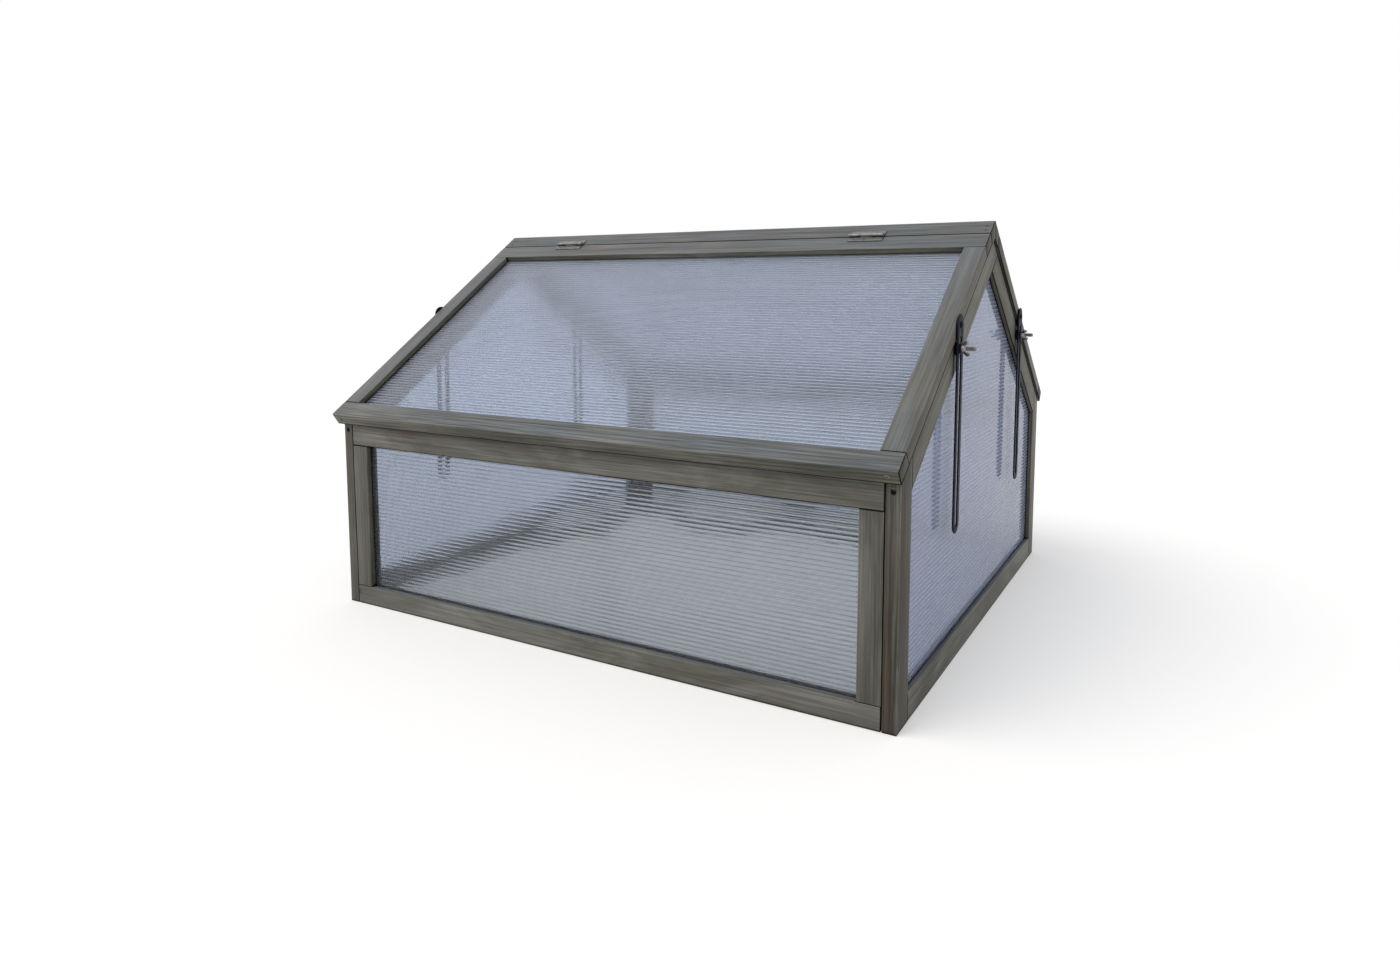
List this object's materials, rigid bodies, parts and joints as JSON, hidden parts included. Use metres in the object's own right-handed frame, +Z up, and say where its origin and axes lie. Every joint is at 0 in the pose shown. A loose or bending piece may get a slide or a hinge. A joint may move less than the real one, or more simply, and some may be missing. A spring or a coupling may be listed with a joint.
{
  "type": "cold frame",
  "caption": "Wooden mini greenhouse with twin-wall panes, a gabled roof of two hinged lids, and slotted stays held by wing nuts at the gables.",
  "frame": {"origin": "on the ground, under the middle of the ridge", "axes": "+X along the front wall to the right as seen from the front, +Y from the front wall to the back wall, +Z up"},
  "size_m": [0.939, 0.8382, 0.5861],
  "materials": {
    "stained_wood": "matte",
    "twin_wall_sheet": "gloss",
    "zinc_steel": "satin",
    "black_steel": "satin"
  },
  "bodies": {
    "frame": {"front_wall_top_rail": "stained_wood", "front_wall_bottom_rail": "stained_wood", "front_wall_left_stile": "stained_wood", "front_wall_right_stile": "stained_wood", "front_wall_pane": "twin_wall_sheet", "back_wall_top_rail": "stained_wood", "back_wall_bottom_rail": "stained_wood", "back_wall_left_stile": "stained_wood", "back_wall_right_stile": "stained_wood", "back_wall_pane": "twin_wall_sheet", "left_gable_front_post": "stained_wood", "left_gable_back_post": "stained_wood", "left_gable_bottom_rail": "stained_wood", "left_gable_front_rafter": "stained_wood", "left_gable_back_rafter": "stained_wood", "left_gable_pane": "twin_wall_sheet", "right_gable_front_post": "stained_wood", "right_gable_back_post": "stained_wood", "right_gable_bottom_rail": "stained_wood", "right_gable_front_rafter": "stained_wood", "right_gable_back_rafter": "stained_wood", "right_gable_pane": "twin_wall_sheet", "front_ridge_plank": "stained_wood", "back_ridge_plank": "stained_wood", "frame_screws": "zinc_steel", "ridge_hinge_leaves": "zinc_steel", "ridge_hinge_screws": "zinc_steel", "hinge_pins": "zinc_steel", "stay_bolts": "zinc_steel", "stay_spacers": "black_steel", "clamp_washers": "black_steel"},
    "front_lid": {"front_lid_top_rail": "stained_wood", "front_lid_bottom_rail": "stained_wood", "front_lid_left_stile": "stained_wood", "front_lid_right_stile": "stained_wood", "front_lid_pane": "twin_wall_sheet", "front_lid_frame_screws": "zinc_steel", "front_lid_hinge_leaves": "zinc_steel", "front_lid_hinge_screws": "zinc_steel"},
    "back_lid": {"back_lid_top_rail": "stained_wood", "back_lid_bottom_rail": "stained_wood", "back_lid_left_stile": "stained_wood", "back_lid_right_stile": "stained_wood", "back_lid_pane": "twin_wall_sheet", "back_lid_frame_screws": "zinc_steel", "back_lid_hinge_leaves": "zinc_steel", "back_lid_hinge_screws": "zinc_steel"},
    "front_right_stay_bar": {"front_right_stay": "black_steel", "front_right_pivot_screw": "black_steel"},
    "front_right_nut": {"front_right_wing_nut": "zinc_steel"},
    "front_left_stay_bar": {"front_left_stay": "black_steel", "front_left_pivot_screw": "black_steel"},
    "front_left_nut": {"front_left_wing_nut": "zinc_steel"},
    "back_right_stay_bar": {"back_right_stay": "black_steel", "back_right_pivot_screw": "black_steel"},
    "back_right_nut": {"back_right_wing_nut": "zinc_steel"},
    "back_left_stay_bar": {"back_left_stay": "black_steel", "back_left_pivot_screw": "black_steel"},
    "back_left_nut": {"back_left_wing_nut": "zinc_steel"}
  },
  "joints": [
    {"name": "front_lid_hinge", "type": "hinge", "parent": "frame", "child": "front_lid", "pos_m": [0, -0.03003, 0.56941], "axis": [-1, 0, 0], "range_deg": [0, 70]},
    {"name": "back_lid_hinge", "type": "hinge", "parent": "frame", "child": "back_lid", "pos_m": [0, 0.03003, 0.56941], "axis": [1, 0, 0], "range_deg": [0, 70]},
    {"name": "front_right_stay_slide", "type": "slide", "parent": "frame", "child": "front_right_stay_bar", "axis": [0, 0, 1], "range_m": [0, 0.2229]},
    {"name": "front_left_stay_slide", "type": "slide", "parent": "frame", "child": "front_left_stay_bar", "axis": [0, 0, 1], "range_m": [0, 0.2229]},
    {"name": "back_right_stay_slide", "type": "slide", "parent": "frame", "child": "back_right_stay_bar", "axis": [0, 0, 1], "range_m": [0, 0.2229]},
    {"name": "back_left_stay_slide", "type": "slide", "parent": "frame", "child": "back_left_stay_bar", "axis": [0, 0, 1], "range_m": [0, 0.2229]},
    {"name": "front_right_nut_turn", "type": "hinge", "parent": "frame", "child": "front_right_nut", "pos_m": [0.456, -0.189, 0.41536], "axis": [1, 0, 0], "range_deg": [0, 360]},
    {"name": "front_left_nut_turn", "type": "hinge", "parent": "frame", "child": "front_left_nut", "pos_m": [-0.456, -0.189, 0.41536], "axis": [-1, 0, 0], "range_deg": [0, 360]},
    {"name": "back_right_nut_turn", "type": "hinge", "parent": "frame", "child": "back_right_nut", "pos_m": [0.456, 0.189, 0.41536], "axis": [1, 0, 0], "range_deg": [0, 360]},
    {"name": "back_left_nut_turn", "type": "hinge", "parent": "frame", "child": "back_left_nut", "pos_m": [-0.456, 0.189, 0.41536], "axis": [-1, 0, 0], "range_deg": [0, 360]}
  ],
  "couplings": [
    {"joint": "front_right_stay_slide", "follows": "front_lid_hinge", "m_per_rad": 0.18237},
    {"joint": "front_left_stay_slide", "follows": "front_lid_hinge", "m_per_rad": 0.18237},
    {"joint": "back_right_stay_slide", "follows": "back_lid_hinge", "m_per_rad": 0.18237},
    {"joint": "back_left_stay_slide", "follows": "back_lid_hinge", "m_per_rad": 0.18237}
  ]
}
